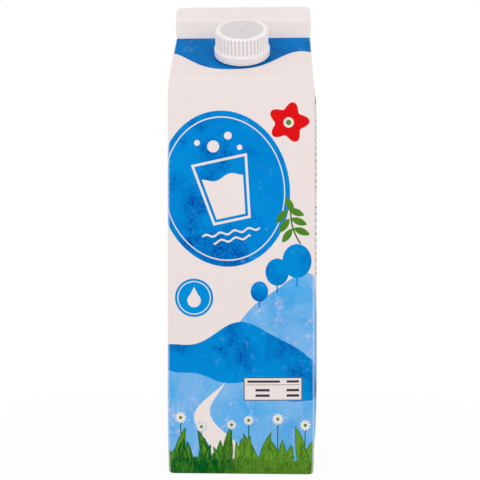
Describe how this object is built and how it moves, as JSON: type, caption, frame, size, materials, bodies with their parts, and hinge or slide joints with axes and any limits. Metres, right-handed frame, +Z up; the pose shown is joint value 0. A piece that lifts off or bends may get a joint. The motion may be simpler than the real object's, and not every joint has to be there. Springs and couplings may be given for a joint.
{
  "type": "milk carton",
  "caption": "Upright gable-top milk carton of folded board, shut, with a flat sealed fin along its top and a ribbed screw cap on the front roof panel.",
  "frame": {"origin": "centre of the base, on the surface the carton stands on", "axes": "+Z up to the fin; the front, with the cap, faces -Y; the fin runs along X"},
  "size_m": [0.0768, 0.0768, 0.2362],
  "materials": {
    "coated_board": "satin, printed",
    "moulded_neck": "satin",
    "moulded_cap": "satin"
  },
  "bodies": {
    "root": {"carton": "coated_board", "neck": "moulded_neck", "cap": "moulded_cap"}
  },
  "joints": []
}
